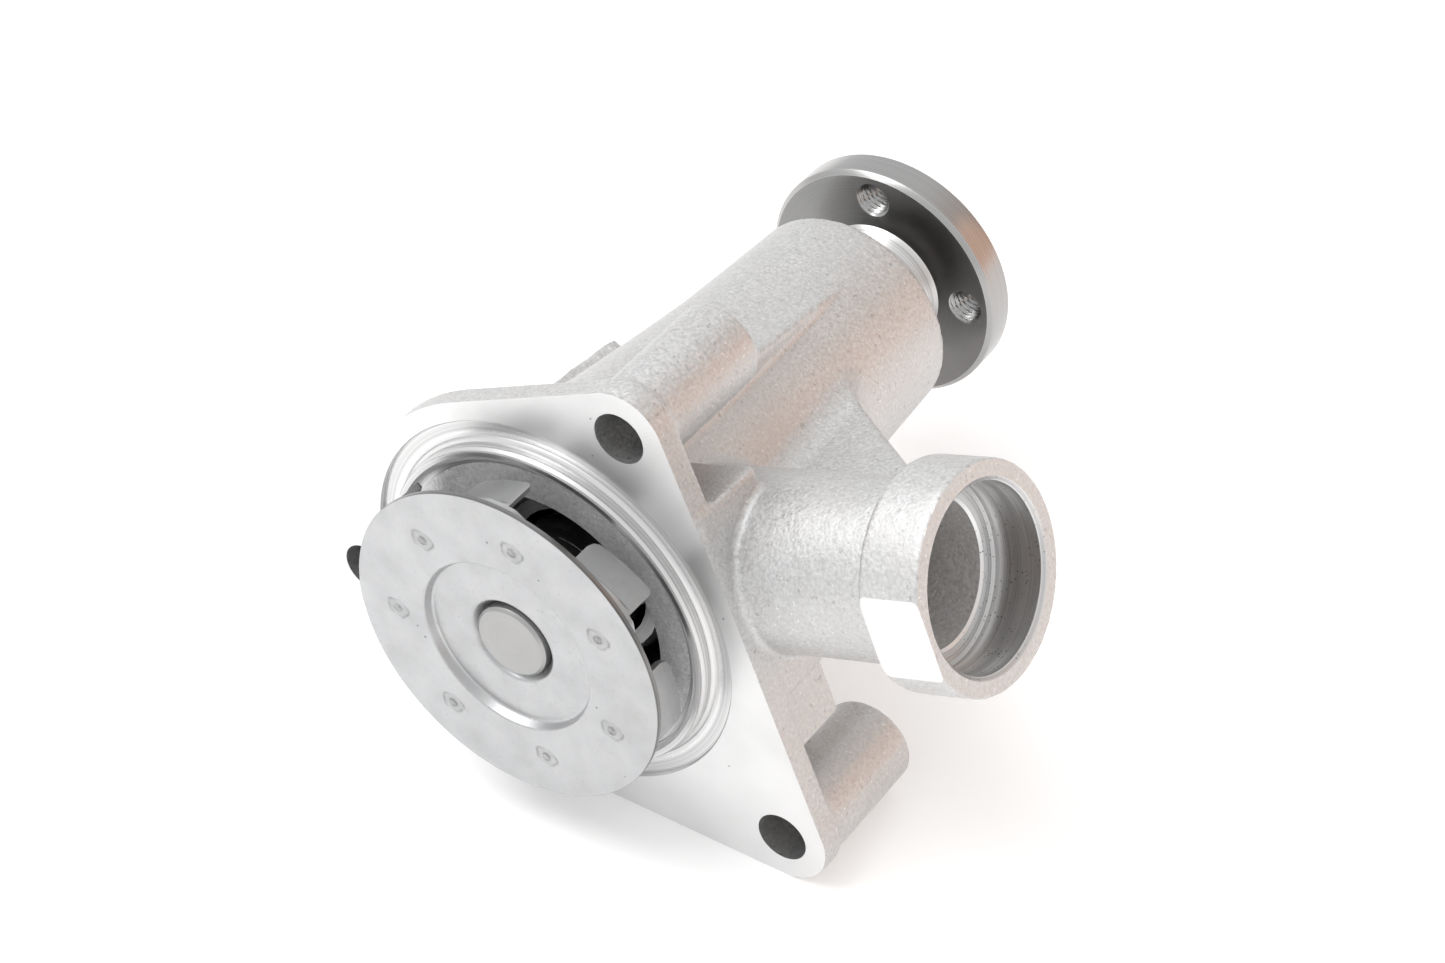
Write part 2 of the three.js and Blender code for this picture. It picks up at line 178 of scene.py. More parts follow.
def boolean(piece, other, operation):
    """Cuts or joins other, which is used up."""
    modifier = piece.modifiers.new("boolean", "BOOLEAN")
    modifier.operation = operation
    modifier.solver = "MANIFOLD"
    modifier.material_mode = "TRANSFER"
    modifier.object = other
    applied(piece)
    bpy.data.objects.remove(other)
    return piece


def cut(piece, *cutters):
    for cutter in cutters:
        boolean(piece, cutter, "DIFFERENCE")
    return piece


def place(piece, body, slot, *stands_for):
    """Moves a finished piece from drawing millimetres into the row frame and on to its body."""
    piece.data.transform(Matrix.Scale(MM, 4) @ Matrix.Translation((0, -HUB_FACE, 0)))
    piece.data.shade_smooth()
    piece.data.set_sharp_from_angle(angle=CREASE)
    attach(piece, body)
    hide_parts(*stands_for)
    return piece


def rounded(outline, radius, steps=4):
    """The outline with each inner corner turned into an arc: a corner's own radius may be its
    third number."""
    points = [Vector(p[:2]) for p in outline]
    result = [points[0]]
    for i in range(1, len(points) - 1):
        before, corner, after = points[i - 1], points[i], points[i + 1]
        wanted = outline[i][2] if len(outline[i]) > 2 else radius
        inward, outward = before - corner, after - corner
        turn = inward.angle(outward)
        reach = min(wanted / math.tan(turn / 2), 0.45 * inward.length, 0.45 * outward.length)
        bend = reach * math.tan(turn / 2)
        if bend < 0.01 or turn > math.radians(175):
            result.append(corner)
            continue
        middle = corner + (inward.normalized() + outward.normalized()).normalized() * (
            bend / math.sin(turn / 2)
        )
        start = corner + inward.normalized() * reach - middle
        end = corner + outward.normalized() * reach - middle
        swing = start.angle_signed(end)
        for step in range(steps + 1):
            turned = start.copy()
            turned.rotate(Matrix.Rotation(-swing * step / steps, 2))
            result.append(middle + turned)
    result.append(points[-1])
    return [(p.x, p.y) for p in result]


def lathe(name, outline, segments, materials=(), axis="shaft"):
    """A solid of revolution. The outline lists (radius, y); it starts and ends on the axis, or
    closes on itself."""
    solid = outline[0][0] < 1e-6
    turning = outline[1:-1] if solid else outline
    angles = [2 * math.pi * i / segments for i in range(segments)]
    vertices = [(r * math.cos(a), y, r * math.sin(a)) for r, y in turning for a in angles]
    rows = len(turning)
    faces = []
    for row in range(rows - 1 if solid else rows):
        low, high = row * segments, (row + 1) % rows * segments
        for i in range(segments):
            j = (i + 1) % segments
            faces.append((low + i, low + j, high + j, high + i))
    if solid:
        start, end = len(vertices), len(vertices) + 1
        vertices += [(0, outline[0][1], 0), (0, outline[-1][1], 0)]
        last = (rows - 1) * segments
        for i in range(segments):
            j = (i + 1) % segments
            faces.append((start, j, i))
            faces.append((end, last + i, last + j))
    made = mesh_object(name, vertices, faces, materials)
    made.data.transform(axis_matrix(axis))
    facing_out(made)
    return made


def axis_matrix(axis):
    if axis == "shaft":
        return Matrix.Identity(4)
    turn = Matrix.Rotation(-INLET_ANGLE, 4, "Y") @ Matrix.Rotation(-math.pi / 2, 4, "Z")
    return Matrix.Translation((0, INLET_Y, 0)) @ turn


def facing_out(piece):
    editor = bmesh.new()
    editor.from_mesh(piece.data)
    bmesh.ops.recalc_face_normals(editor, faces=editor.faces)
    if editor.calc_volume(signed=True) < 0:
        bmesh.ops.reverse_faces(editor, faces=editor.faces)
    editor.to_mesh(piece.data)
    editor.free()


def polar(radius, angle):
    return radius * math.cos(angle), radius * math.sin(angle)


# ---------------------------------------------------------------- the casting, as distances
# Each function gives the signed distance from a shape at the points x, y, z, negative inside.
def capsule(x, z, first, second):
    """The flat outline of a belt round two circles, each (x, z, radius)."""
    length = math.hypot(second[0] - first[0], second[1] - first[1])
    along_x, along_z = (second[0] - first[0]) / length, (second[1] - first[1]) / length
    taper = (first[2] - second[2]) / length
    straight = math.sqrt(1 - taper * taper)
    along = (x - first[0]) * along_x + (z - first[1]) * along_z
    across = np.abs((x - first[0]) * along_z - (z - first[1]) * along_x)
    foot = along * straight - across * taper
    near = np.hypot(across, along) - first[2]
    far = np.hypot(across, along - length) - second[2]
    side = across * straight + along * taper - first[2]
    return np.where(foot < 0, near, np.where(foot > straight * length, far, side))


def extruded(outline, y, start, end, edge):
    """A flat outline between two heights, with its end edges rounded."""
    over = np.abs(y - (start + end) / 2) - (end - start) / 2 + edge
    beside = outline + edge
    outside = np.hypot(np.maximum(over, 0), np.maximum(beside, 0))
    return outside + np.minimum(np.maximum(over, beside), 0) - edge


def block(x, y, z, low, high, edge):
    sides = [
        np.abs(v - (a + b) / 2) - (b - a) / 2 + edge for v, a, b in zip((x, y, z), low, high)
    ]
    outside = np.sqrt(sum(np.maximum(side, 0) ** 2 for side in sides))
    inside = np.minimum(np.maximum(np.maximum(sides[0], sides[1]), sides[2]), 0)
    return outside + inside - edge


def blended(a, b, fillet):
    """Both shapes, with a fillet of that radius where they meet."""
    corner = np.hypot(np.maximum(fillet - a, 0), np.maximum(fillet - b, 0))
    return np.maximum(fillet, np.minimum(a, b)) - corner


def flange_field(x, y, z):
    ears = {name: (*polar(bolt[0], bolt[1]), EAR_RADIUS) for name, bolt in BOLTS.items()}
    middle = (0, 0, REGISTER_CIRCLE)
    pairs = [
        (ears["lower"], ears["upper"]),
        (middle, ears["upper"]),
        (middle, ears["left"]),
        (middle, ears["lower"]),
    ]
    outline = np.minimum.reduce([capsule(x, z, *pair) for pair in pairs])
    return extruded(outline, y, -4, FLANGE_THICKNESS, 1)


def body_field(radius, y):
    """The volute, which tapers to the bearing nose."""
    stations = [0, 7, 13, 21, 30, 38, 56, 74, 92, NOSE_END]
    radii = [43.5, 43.5, 39, 34, 30.8, 29.2, 27.2, 25.4, 24.4, NOSE_RADIUS]
    fine = np.linspace(-5, NOSE_END + 5, 1101)
    profile = np.interp(fine, stations, radii)
    window = np.hanning(51)
    profile = np.convolve(np.pad(profile, 25, mode="edge"), window / window.sum(), "valid")
    skin = (radius - np.interp(y, fine, profile)) * 0.92
    return extruded(skin, y, 1, NOSE_END + 0.5, 1)


def turned_to(angle, x, z):
    """The distance out along a direction square to the shaft, and the distance across it."""
    out = x * math.cos(angle) + z * math.sin(angle)
    across = z * math.cos(angle) - x * math.sin(angle)
    return out, across


def above_ridge(out, y, first, second):
    """The distance outside a straight ridge, each of whose ends is (out, y)."""
    start = np.array(first, dtype=float)
    run = np.array(second) - start
    run /= np.linalg.norm(run)
    return (out - start[0]) * run[1] - (y - start[1]) * run[0]


def boss_field(x, y, z, bolt):
    """A round boss, crisp at its end, with the web that ties it to the body."""
    distance, angle, radius, end, web_end = bolt
    outer = polar(distance, angle)
    boss = extruded(np.hypot(x - outer[0], z - outer[1]) - radius, y, 1, end, 1)
    half = WEB_THICKNESS / 2
    strip = capsule(x, z, (*polar(distance - 4, angle), half), (*polar(BODY_CORE, angle), half))
    return blended(boss, extruded(strip, y, 1, web_end, 1.5), 1.5)


def tail_field(x, y, z):
    """The wedge that runs on from the upper boss and dies away on the nose: steep towards the
    inlet, and falling off gently on its other side."""
    out, across = turned_to(TAIL_ANGLE, x, z)
    crest = above_ridge(out, y, TAIL_START, TAIL_FINISH)
    ridge_offset, steep_slope, gentle_slope, width = 1.2, 0.3, 0.55, 12
    steep = -across - ridge_offset + steep_slope * crest
    gentle = 0.82 * (crest + gentle_slope * np.maximum(across, 0))
    hidden_start = BOLTS["upper"][3] - 12
    ends = np.maximum(hidden_start - y, y - TAIL_END)
    limits = np.maximum(18 - out, np.maximum(ends, across - width))
    return np.maximum(np.maximum(gentle, steep), limits)


def fin_field(x, y, z):
    """The low fin on the far side of the body, square at its end."""
    out, across = turned_to(FIN_ANGLE, x, z)
    crest = np.interp(y, FIN_STATIONS, FIN_RIDGE)
    sides = np.maximum(out - crest, np.abs(across) - FIN_THICKNESS / 2)
    return np.maximum(sides, np.maximum(y - FIN_END, 15 - out))


def tube_field(out, y, across):
    around = np.hypot(y - INLET_Y, across)
    tube = extruded(around - TUBE_RADIUS, out, 8, INLET_END - 2, 0.5)
    collar = extruded(around - COLLAR_RADIUS, out, COLLAR_START, INLET_END + 0.4, 1.1)
    return blended(tube, collar, 0.8)


def gusset_field(out, y, across):
    """The triangular web between the nose and the inlet."""
    crest = above_ridge(out, y, GUSSET_FOOT, GUSSET_TOP)
    side = np.maximum(crest, np.maximum(18 - out, GUSSET_FOOT[1] - y))
    return extruded(side, across, -GUSSET_THICKNESS / 2, GUSSET_THICKNESS / 2, 1)


def edge_wall_field(out, y, across):
    """The wall behind the flange's straight edge. Its lower stretch stands a little inside."""
    flush = block(out, y, across, (25, 1, -22), (EDGE_WALL, EDGE_WALL_END, 22), 0.8)
    inset_face = EDGE_WALL - 1.2
    inset = block(out, y, across, (33, 1, -34), (inset_face, EDGE_WALL_END, -20), 0.8)
    return np.minimum(flush, inset)


def casting_field(x, y, z):
    """The whole casting. The last number in each blend is the fillet's radius."""
    out, across = turned_to(INLET_ANGLE, x, z)
    radius = np.hypot(x, z)
    flange = flange_field(x, y, z)
    wall = edge_wall_field(out, y, across)
    tube = tube_field(out, y, across)
    main = blended(body_field(radius, y), tail_field(x, y, z), 0.8)
    for bolt in BOLTS.values():
        main = blended(main, boss_field(x, y, z, bolt), 3)
    main = blended(main, tube, 2)
    main = blended(main, fin_field(x, y, z), 0.6)
    main = blended(main, gusset_field(out, y, across), 5)
    main = blended(main, wall, 1.2)
    whole = np.minimum(blended(flange, main, 1.5), np.minimum(flange, wall))
    spigot = extruded(radius - SPIGOT_OUTER - 2, y, -SPIGOT_HEIGHT - 1, 4, 0.5)
    eye = extruded(radius - SPIGOT_OUTER, y, EYE_FACE, 8, 0.2)
    return np.minimum(whole, np.minimum(spigot, eye))


def casting(material):
    """The skin of the casting before it is machined."""
    low = np.array([-60.0, -6.0, -50.0])
    high = np.array([94.0, 110.0, 62.0])
    axes = [np.arange(a, b, CASTING_STEP, dtype=np.float32) for a, b in zip(low, high)]
    field = casting_field(*np.meshgrid(*axes, indexing="ij", sparse=True))
    grid = openvdb.FloatGrid()
    grid.copyFromArray(np.ascontiguousarray(field, dtype=np.float32))
    points, quads = grid.convertToQuads(isovalue=0.0)
    made = mesh_object("housing_casting", points * CASTING_STEP + low, quads, [material])
    thin = made.modifiers.new("thin", "DECIMATE")
    thin.ratio = 0.3
    return applied(made)


# ---------------------------------------------------------------- machining the casting
def front_cutter(milled, turned, cored):
    """All that is milled and turned off the engine side: the face, the recess and the spigot,
    down to the wall round the eye, which is left as cast."""
    eye = SPIGOT_INNER - 1.2
    outline = [
        (0, -30), (120, -30), (120, 0), (RECESS_RADIUS + 0.25, 0), (RECESS_RADIUS, 0.25),
        (RECESS_RADIUS, RECESS_DEPTH), (SPIGOT_OUTER + 0.9, RECESS_DEPTH),
        (SPIGOT_OUTER + 0.5, 0.5), (SPIGOT_OUTER, 0.3), (SPIGOT_OUTER, -1.5),
        (SPIGOT_OUTER - 0.5, -2.1), (SPIGOT_OUTER - 0.5, -SPIGOT_HEIGHT),
        (SPIGOT_INNER + 1.1, -SPIGOT_HEIGHT), (SPIGOT_INNER + 0.6, -2.1),
        (SPIGOT_INNER, -1.9), (SPIGOT_INNER, EYE_FACE - 0.2), (eye, EYE_FACE), (0, EYE_FACE),
    ]
    made = lathe("front_cutter", outline, 240, [milled, turned, cored])
    behind_disc = -10
    for polygon in made.data.polygons:
        away = max(math.hypot(*made.data.vertices[i].co.xz) for i in polygon.vertices)
        if away < eye + 0.01:
            polygon.material_index = 2
        elif away < RECESS_RADIUS + 0.3 and polygon.center.y > behind_disc:
            polygon.material_index = 1
    return made


def cavity_cutter(material):
    outline = [
        (0, -3), (EYE_RADIUS, -3), (EYE_RADIUS, 5, 2), (27.6, 18, 5),
        (25, CAVITY_END - 3, 2), (22, CAVITY_END, 2), (SEAL_BOSS_RADIUS, CAVITY_END, 2),
        (SEAL_BOSS_RADIUS, SEAL_BOSS_FACE, 1), (0, SEAL_BOSS_FACE),
    ]
    return lathe("cavity_cutter", rounded(outline, 0.5), 160, [material])


def bore_cutter(material):
    outline = [
        (0, SEAL_BOSS_FACE - 5), (SEAL_BORE + 0.5, SEAL_BOSS_FACE - 5),
        (SEAL_BORE + 0.5, SEAL_BOSS_FACE), (SEAL_BORE, SEAL_BOSS_FACE + 0.5),
        (SEAL_BORE, SEAL_BORE_END), (SHAFT_PASSAGE, SEAL_BORE_END),
        (SHAFT_PASSAGE, BEARING_BORE_START), (BEARING_BORE, BEARING_BORE_START),
        (BEARING_BORE, NOSE_END - 0.8), (BEARING_BORE + 0.8, NOSE_END), (50, NOSE_END),
        (50, NOSE_END + 10), (0, NOSE_END + 10),
    ]
    return lathe("bore_cutter", outline, 120, [material])


def inlet_cutter(bored, cast):
    """The end of the inlet: its end face, left as cast, the counterbore and its chamfer."""
    floor = INLET_END - MOUTH_DEPTH
    chamfer = MOUTH_BORE + 0.8
    outline = [
        (0, floor - 0.6), (INLET_BORE - 0.2, floor - 0.6), (INLET_BORE + 0.6, floor),
        (MOUTH_BORE - 0.5, floor), (MOUTH_BORE, floor + 0.5), (MOUTH_BORE, INLET_END - 0.8),
        (chamfer, INLET_END), (50, INLET_END), (50, INLET_END + 10), (0, INLET_END + 10),
    ]
    made = lathe("inlet_cutter", outline, 160, [bored, cast], axis="inlet")
    back = axis_matrix("inlet").inverted()
    for polygon in made.data.polygons:
        middle = back @ polygon.center
        if middle.xz.length > chamfer + 0.05:
            polygon.material_index = 1
    return made


def passage_cutter(material):
    outline = [(0, 21), (INLET_BORE, 21), (INLET_BORE, INLET_END - 5), (0, INLET_END - 5)]
    return lathe("passage_cutter", outline, 96, [material], axis="inlet")


def bolt_hole_cutter(bolt, material):
    """A cored bolt hole, a little wider at its ends."""
    distance, angle, _, end, _ = bolt
    radius = BOLT_HOLE_RADIUS
    outline = [
        (0, -5), (radius + 0.1, -5), (radius + 0.1, 0), (radius - 0.1, end / 2),
        (radius + 0.1, end), (radius + 0.1, end + 5), (0, end + 5),
    ]
    made = lathe("bolt_hole_cutter", outline, 48, [material])
    x, z = polar(distance, angle)
    made.data.transform(Matrix.Translation((x, 0, z)))
    return made


def drain_cutter(material):
    outline = [(0, 0), (DRAIN_RADIUS, 0), (DRAIN_RADIUS, 20), (0, 20)]
    made = lathe("drain_cutter", outline, 32, [material])
    down = Matrix.Rotation(-math.pi / 2, 4, "X")
    made.data.transform(Matrix.Translation((0, DRAIN_Y, 4 - BEARING_BORE)) @ down)
    return made


def housing(cast, milled, turned, bored, cored, holes, dark):
    made = casting(cast)
    cut(made, front_cutter(milled, turned, cored), cavity_cutter(dark), bore_cutter(bored))
    cut(made, inlet_cutter(bored, cast), passage_cutter(cored), drain_cutter(bored))
    cut(made, *(bolt_hole_cutter(bolt, holes) for bolt in BOLTS.values()))
    return place(made, "housing", "cast_aluminium", "housing")


# ---------------------------------------------------------------- impeller, shaft and hub
def weld_mark(x, z):
    """Near a weld: how far the disc's face is raised, in millimetres, and how dark it is."""
    away = np.hypot(x, z)
    turn = np.arctan2(z, x)
    side = 0.5 + 0.5 * np.cos(2 * turn + 0.7)
    ring = np.exp(-(((away - 0.85) / 0.22) ** 2))
    middle = np.exp(-((away / 0.4) ** 2))
    edge = 2.1 + 0.35 * side + 0.15 * np.cos(5 * turn)
    halo = side * np.exp(-(((away - edge) / 0.25) ** 2))
    stain = 0.25 * (away < edge)
    height = 0.16 * ring - 0.2 * middle - 0.1 * halo
    return height, 0.8 * ring + 0.5 * middle + 0.75 * halo + stain


def impeller_disc(material, sheared):
    dish = DISC_FACE + DISH_DEPTH
    gap = 1.6  # round the shaft end, where the sheet turns in to its collar
    face = [
        (SHAFT_RADIUS + 0.05, IMPELLER_COLLAR_END),
        (SHAFT_RADIUS + 0.05, dish + 2.2),
        (SHAFT_RADIUS + gap, dish, 1.1),
        (DISH_RADIUS - 0.1, dish, 0.6),
        (DISH_RADIUS + 0.6, DISC_FACE, 0.6),
        (DISC_RADIUS, DISC_FACE, 0.12),
        (DISC_RADIUS, DISC_FACE + SHEET, 0.12),
        (DISH_RADIUS + 1.8, DISC_FACE + SHEET, 0.3),
        (DISH_RADIUS + 0.7, dish + SHEET, 0.5),
        (COLLAR_OUTER, dish + SHEET, 0.8),
        (COLLAR_OUTER, IMPELLER_COLLAR_END),
    ]
    outline = rounded(face, 0.1, 5)
    reach = 3.3
    welded = [(r, DISC_FACE) for r in np.arange(WELD_CIRCLE - reach, WELD_CIRCLE + reach + 0.1, 0.22)]
    split = next(i for i, (r, _) in enumerate(outline) if r > 22)
    outline = outline[:split] + welded + outline[split:]
    made = lathe("impeller_front_disc", outline, 760, [material, sheared])
    for polygon in made.data.polygons:
        if abs(polygon.normal.y) < 0.9 and polygon.center.xz.length > DISC_RADIUS - 0.3:
            polygon.material_index = 1
    count = len(made.data.vertices)
    points = np.empty(count * 3)
    made.data.vertices.foreach_get("co", points)
    points = points.reshape(count, 3)
    on_face = np.abs(points[:, 1] - DISC_FACE) < 1e-4
    darkness = np.zeros(count)
    for index in range(VANES):
        x, z = polar(WELD_CIRCLE, WELD_ANGLE + 2 * math.pi * index / VANES)
        near = on_face & (np.hypot(points[:, 0] - x, points[:, 2] - z) < reach - 0.1)
        height, dark = weld_mark(points[near, 0] - x, points[near, 2] - z)
        points[near, 1] -= height
        darkness[near] = dark
    made.data.vertices.foreach_set("co", points.ravel())
    made.data.attributes.new("weld", "FLOAT", "POINT").data.foreach_set("value", darkness)
    return place(made, "rotor", "zinc_plated_sheet", "impeller_disc")


def corner_drop(away, radius):
    """How far a rounded corner has fallen at that distance from its end."""
    return radius - math.sqrt(radius**2 - max(0, radius - away) ** 2)


def vane(tip, material):
    """A backward-curved vane, bent up from the foot plate with a small bend radius. The corners
    of its free edge are rounded."""
    steps = 28
    length = VANE_SWEEP * VANE_INNER
    root = DISC_FACE + SHEET + 0.15
    bend = 1.1
    arc = [
        (bend - bend * math.cos(a), bend - bend * math.sin(a))
        for a in np.linspace(0, math.pi / 2, 5)
    ]
    section = [(0, VANE_END + 0.15), (0.15, VANE_END), (SHEET - 0.15, VANE_END)]
    section += [(SHEET, VANE_END + 0.15), (SHEET, root), (-bend, root), (-bend, root + SHEET)]
    section += [(-out, root + SHEET + up) for out, up in reversed(arc)]
    vertices = []
    for step in range(steps + 1):
        t = step / steps
        radius = VANE_OUTER * (VANE_INNER / VANE_OUTER) ** t
        angle = tip + VANE_SWEEP * t
        free_edge = VANE_END - corner_drop(t * length, 0.9) - corner_drop((1 - t) * length, 2)
        for inward, y in section:
            x, z = polar(min(radius - inward, VANE_OUTER), angle)
            vertices.append((x, min(y, free_edge), z))
    size = len(section)
    faces = [
        (s * size + i, s * size + (i + 1) % size, (s + 1) * size + (i + 1) % size, (s + 1) * size + i)
        for s in range(steps)
        for i in range(size)
    ]
    faces += [tuple(range(size)), tuple(steps * size + i for i in reversed(range(size)))]
    made = mesh_object("vane", vertices, faces, [material])
    facing_out(made)
    return made


def lobed(angle):
    """The vane plate's outer radius: it follows each vane and has a lobe beyond the vane's tip."""
    pitch = 2 * math.pi / VANES
    past = (angle - VANE_TIP + pitch / 2) % pitch - pitch / 2
    lobe_start, lobe_end = math.radians(-2.5), math.radians(-14)
    stations = [-pitch / 2, lobe_end, lobe_start, 0, VANE_SWEEP]
    return np.interp(past, stations, [PLATE_OUTER, PLATE_OUTER, VANE_OUTER, VANE_OUTER, VANE_INNER])


def vane_plate(material):
    start = DISC_FACE + SHEET + 0.1
    inner = DISH_RADIUS + 2.2
    outline = [
        (VANE_OUTER, start), (VANE_OUTER, start + SHEET), (inner, start + SHEET), (inner, start),
    ]
    made = lathe("impeller_vanes", outline, 420, [material])
    for vertex in made.data.vertices:
        x, y, z = vertex.co
        away = math.hypot(x, z)
        if away > inner + 1:
            share = lobed(math.atan2(z, x)) / away
            vertex.co = (x * share, y, z * share)
    for index in range(VANES):
        boolean(made, vane(VANE_TIP + 2 * math.pi * index / VANES, material), "UNION")
    return place(made, "rotor", "zinc_plated_sheet", "impeller_vane_plate")


def shaft(material):
    outline = [
        (0, SHAFT_START), (SHAFT_RADIUS - 0.6, SHAFT_START, 0.15),
        (SHAFT_RADIUS, SHAFT_START + 0.6, 0.15), (SHAFT_RADIUS, HUB_FACE - 0.6, 0.15),
        (SHAFT_RADIUS - 0.6, HUB_FACE, 0.15), (0, HUB_FACE),
    ]
    made = lathe("pump_shaft", rounded(outline, 0.1), 96, [material])
    return place(made, "rotor", "ground_steel", "shaft")


def thread_cutter(angle, material):
    """A tapped hole: a cylinder whose radius follows the thread's spiral, with a countersink."""
    segments, per_turn = 36, 8
    start, end = HUB_START - 0.5, HUB_FACE + 0.5
    rows = int((end - start) / THREAD_PITCH * per_turn) + 1
    vertices = []
    for row in range(rows):
        y = start + (end - start) * row / (rows - 1)
        mouth = max(0, 0.6 - min(y - HUB_START, HUB_FACE - y))
        for i in range(segments):
            phase = ((y - start) / THREAD_PITCH - i / segments) % 1
            thread = THREAD_MINOR + (THREAD_MAJOR - THREAD_MINOR) * (1 - abs(2 * phase - 1))
            x, z = polar(max(thread, THREAD_MINOR + mouth), 2 * math.pi * i / segments)
            vertices.append((x, y, z))
    faces = [
        (r * segments + i, r * segments + (i + 1) % segments,
         (r + 1) * segments + (i + 1) % segments, (r + 1) * segments + i)
        for r in range(rows - 1)
        for i in range(segments)
    ]
    faces.append(tuple(reversed(range(segments))))
    faces.append(tuple((rows - 1) * segments + i for i in range(segments)))
    made = mesh_object("thread_cutter", vertices, faces, [material])
    facing_out(made)
    x, z = polar(THREAD_CIRCLE, angle)
    made.data.transform(Matrix.Translation((x, 0, z)))
    return made


def pulley_hub(face, rim, boss):
    bore = SHAFT_RADIUS + 0.05
    outline = [
        (bore, HUB_BOSS_START), (HUB_BOSS_RADIUS - 0.8, HUB_BOSS_START, 0.1),
        (HUB_BOSS_RADIUS, HUB_BOSS_START + 0.8, 0.1), (HUB_BOSS_RADIUS, HUB_TAPER_START, 2),
        (HUB_TAPER_RADIUS, HUB_START, 0.1),
        (HUB_RADIUS - 1, HUB_START, 0.1), (HUB_RADIUS, HUB_START + 1, 0.1),
        (HUB_RADIUS, HUB_FACE - 0.8, 0.1), (HUB_RADIUS - 0.8, HUB_FACE, 0.1), (bore, HUB_FACE),
    ]
    made = lathe("pulley_hub_turned", rounded(outline, 0.1, 3), 200, [face, rim, boss])
    # The flat faces keep the first material, darkened as painted shade; the boss's sides take the
    # third, brightened as a painted highlight; the rim takes the second.
    for polygon in made.data.polygons:
        if abs(polygon.normal.y) < 0.95:
            inside = polygon.center.xz.length < HUB_TAPER_RADIUS + 0.2
            polygon.material_index = 2 if inside else 1
    for index in range(THREAD_HOLES):
        cut(made, thread_cutter(THREAD_ANGLE + 2 * math.pi * index / THREAD_HOLES, rim))
    return place(made, "rotor", "turned_steel", "pulley_hub")


# ---------------------------------------------------------------- materials
class Surface:
    """A node material in the making. Positions are the row frame's, in metres."""

    def __init__(self, name):
        self.material = bpy.data.materials.new(name)
        self.material.use_nodes = True
        self.tree = self.material.node_tree
        self.shader = next(n for n in self.tree.nodes if n.type == "BSDF_PRINCIPLED")
        self.position = self.add("ShaderNodeTexCoord").outputs["Object"]

    def add(self, kind, inputs=(), **settings):
        made = self.tree.nodes.new(kind)
        for name, value in settings.items():
            setattr(made, name, value)
        for socket, value in dict(inputs).items():
            if isinstance(value, bpy.types.NodeSocket):
                self.tree.links.new(value, made.inputs[socket])
            else:
                made.inputs[socket].default_value = value
        return made

    def set(self, **values):
        for name, value in values.items():
            socket = self.shader.inputs[name.replace("_", " ")]
            if isinstance(value, bpy.types.NodeSocket):
                self.tree.links.new(value, socket)
            else:
                socket.default_value = value

    def noise(self, cell, detail=2, stretch=None):
        """Noise from 0 to 1 whose cells are that many millimetres across."""
        vector = self.position
        if stretch:
            vector = self.add("ShaderNodeMapping", {"Vector": vector, "Scale": stretch}).outputs[0]
        inputs = {"Vector": vector, "Scale": 1 / (cell * MM), "Detail": detail}
        return self.add("ShaderNodeTexNoise", inputs).outputs["Fac"]

    def pits(self, cell, size):
        """1 in small round pits, each in its own cell."""
        inputs = {"Vector": self.position, "Scale": 1 / (cell * MM)}
        away = self.add("ShaderNodeTexVoronoi", inputs).outputs["Distance"]
        return self.between(away, size, size * 0.6)

    def between(self, value, low, high, to_low=0.0, to_high=1.0):
        inputs = {"Value": value, "From Min": low, "From Max": high, "To Min": to_low,
                  "To Max": to_high}
        return self.add("ShaderNodeMapRange", inputs).outputs["Result"]

    def mix(self, share, first, second):
        inputs = {"Factor": share, "A": first, "B": second}
        made = self.add("ShaderNodeMix", data_type="RGBA")
        for name, value in inputs.items():
            index = {"Factor": 0, "A": 6, "B": 7}[name]
            if isinstance(value, bpy.types.NodeSocket):
                self.tree.links.new(value, made.inputs[index])
            else:
                made.inputs[index].default_value = value
        return made.outputs[2]

    def math(self, operation, first, second):
        return self.add("ShaderNodeMath", {0: first, 1: second}, operation=operation).outputs[0]

    def bump(self, height, depth, strength=1.0, before=None):
        """A bump whose whole height is that many millimetres."""
        inputs = {"Height": height, "Distance": depth * MM, "Strength": strength}
        if before:
            inputs["Normal"] = before
        return self.add("ShaderNodeBump", inputs).outputs["Normal"]

    def rings(self, pitch, axis="shaft"):
        """Turning marks: noise that changes only with the distance from an axis and along it."""
        parts = self.add("ShaderNodeSeparateXYZ", {"Vector": self.position}).outputs
        x, y, z = parts["X"], parts["Y"], parts["Z"]
        if axis == "inlet":
            cos, sin = math.cos(INLET_ANGLE), math.sin(INLET_ANGLE)
            along = self.math("ADD", self.math("MULTIPLY", x, cos), self.math("MULTIPLY", z, sin))
            side = self.math(
                "SUBTRACT", self.math("MULTIPLY", z, cos), self.math("MULTIPLY", x, sin)
            )
            middle = (INLET_Y - HUB_FACE) * MM
            off = self.math("SUBTRACT", y, middle)
        else:
            along, side, off = y, x, z
        squares = self.math("ADD", self.math("MULTIPLY", side, side), self.math("MULTIPLY", off, off))
        away = self.math("SQRT", squares, 0.0)
        spread = self.add("ShaderNodeCombineXYZ", {"X": away, "Y": along}).outputs[0]
        inputs = {"Vector": spread, "Scale": 1 / (pitch * MM), "Detail": 3.0}
        return self.add("ShaderNodeTexNoise", inputs).outputs["Fac"]


def grey(value, warmth=0.0):
    return (value * (1 + warmth), value, value * (1 - warmth), 1)


